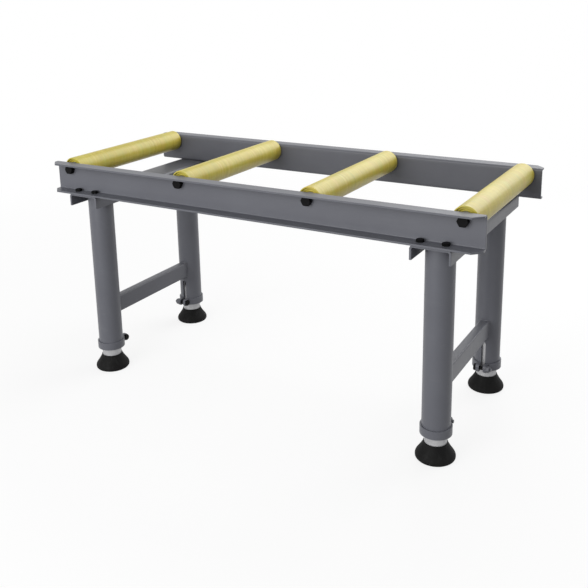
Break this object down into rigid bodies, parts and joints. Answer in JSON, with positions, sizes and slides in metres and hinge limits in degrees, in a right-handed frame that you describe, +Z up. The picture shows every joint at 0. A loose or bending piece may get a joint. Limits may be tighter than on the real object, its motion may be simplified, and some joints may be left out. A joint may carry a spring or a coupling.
{
  "type": "roller conveyor",
  "caption": "Straight roller conveyor table: plated rollers between channel rails, on welded leg frames with clamped telescopic legs and rubber feet.",
  "frame": {"origin": "on the floor under the middle of the table", "axes": "+X along the rails to the right, +Y away from the viewer across the rollers, +Z up"},
  "size_m": [1, 0.44, 0.5142],
  "materials": {
    "grey_paint": "satin grey enamel",
    "yellow_zinc": "yellow passivated zinc plating",
    "black_oxide": "black oxide",
    "bright_zinc": "bright zinc plating",
    "axle_steel": "turned steel",
    "black_rubber": "matt moulded rubber"
  },
  "bodies": {
    "frame": {"rail_front": "grey_paint", "rail_rear": "grey_paint", "roller_1_axle": "axle_steel", "roller_1_bolt_front": "black_oxide", "roller_1_bolt_rear": "black_oxide", "roller_2_axle": "axle_steel", "roller_2_bolt_front": "black_oxide", "roller_2_bolt_rear": "black_oxide", "roller_3_axle": "axle_steel", "roller_3_bolt_front": "black_oxide", "roller_3_bolt_rear": "black_oxide", "roller_4_axle": "axle_steel", "roller_4_bolt_front": "black_oxide", "roller_4_bolt_rear": "black_oxide", "cross_member_left": "grey_paint", "stretcher_left": "grey_paint", "leg_front_left": "grey_paint", "collar_front_left": "grey_paint", "clamp_bolt_front_left": "black_oxide", "frame_bolt_front_left_a": "black_oxide", "frame_bolt_front_left_b": "black_oxide", "leg_rear_left": "grey_paint", "collar_rear_left": "grey_paint", "clamp_bolt_rear_left": "black_oxide", "frame_bolt_rear_left_a": "black_oxide", "frame_bolt_rear_left_b": "black_oxide", "cross_member_right": "grey_paint", "stretcher_right": "grey_paint", "leg_front_right": "grey_paint", "collar_front_right": "grey_paint", "clamp_bolt_front_right": "black_oxide", "frame_bolt_front_right_a": "black_oxide", "frame_bolt_front_right_b": "black_oxide", "leg_rear_right": "grey_paint", "collar_rear_right": "grey_paint", "clamp_bolt_rear_right": "black_oxide", "frame_bolt_rear_right_a": "black_oxide", "frame_bolt_rear_right_b": "black_oxide"},
    "roller_1": {"roller_1_shell": "yellow_zinc", "roller_1_housing_front": "yellow_zinc", "roller_1_housing_rear": "yellow_zinc"},
    "roller_2": {"roller_2_shell": "yellow_zinc", "roller_2_housing_front": "yellow_zinc", "roller_2_housing_rear": "yellow_zinc"},
    "roller_3": {"roller_3_shell": "yellow_zinc", "roller_3_housing_front": "yellow_zinc", "roller_3_housing_rear": "yellow_zinc"},
    "roller_4": {"roller_4_shell": "yellow_zinc", "roller_4_housing_front": "yellow_zinc", "roller_4_housing_rear": "yellow_zinc"},
    "foot_front_left_slide": {"inner_leg_front_left": "bright_zinc", "foot_front_left": "black_rubber"},
    "foot_rear_left_slide": {"inner_leg_rear_left": "bright_zinc", "foot_rear_left": "black_rubber"},
    "foot_front_right_slide": {"inner_leg_front_right": "bright_zinc", "foot_front_right": "black_rubber"},
    "foot_rear_right_slide": {"inner_leg_rear_right": "bright_zinc", "foot_rear_right": "black_rubber"}
  },
  "joints": [
    {"name": "roller_1_spin", "type": "hinge", "parent": "frame", "child": "roller_1", "pos_m": [-0.4605, 0, 0.4892], "axis": [0, 1, 0], "continuous": true},
    {"name": "roller_2_spin", "type": "hinge", "parent": "frame", "child": "roller_2", "pos_m": [-0.1535, 0, 0.4892], "axis": [0, 1, 0], "continuous": true},
    {"name": "roller_3_spin", "type": "hinge", "parent": "frame", "child": "roller_3", "pos_m": [0.1535, 0, 0.4892], "axis": [0, 1, 0], "continuous": true},
    {"name": "roller_4_spin", "type": "hinge", "parent": "frame", "child": "roller_4", "pos_m": [0.4605, 0, 0.4892], "axis": [0, 1, 0], "continuous": true},
    {"name": "leg_front_left_extend", "type": "slide", "parent": "frame", "child": "foot_front_left_slide", "axis": [0, 0, -1], "range_m": [0, 0.2]},
    {"name": "leg_rear_left_extend", "type": "slide", "parent": "frame", "child": "foot_rear_left_slide", "axis": [0, 0, -1], "range_m": [0, 0.2]},
    {"name": "leg_front_right_extend", "type": "slide", "parent": "frame", "child": "foot_front_right_slide", "axis": [0, 0, -1], "range_m": [0, 0.2]},
    {"name": "leg_rear_right_extend", "type": "slide", "parent": "frame", "child": "foot_rear_right_slide", "axis": [0, 0, -1], "range_m": [0, 0.2]}
  ]
}
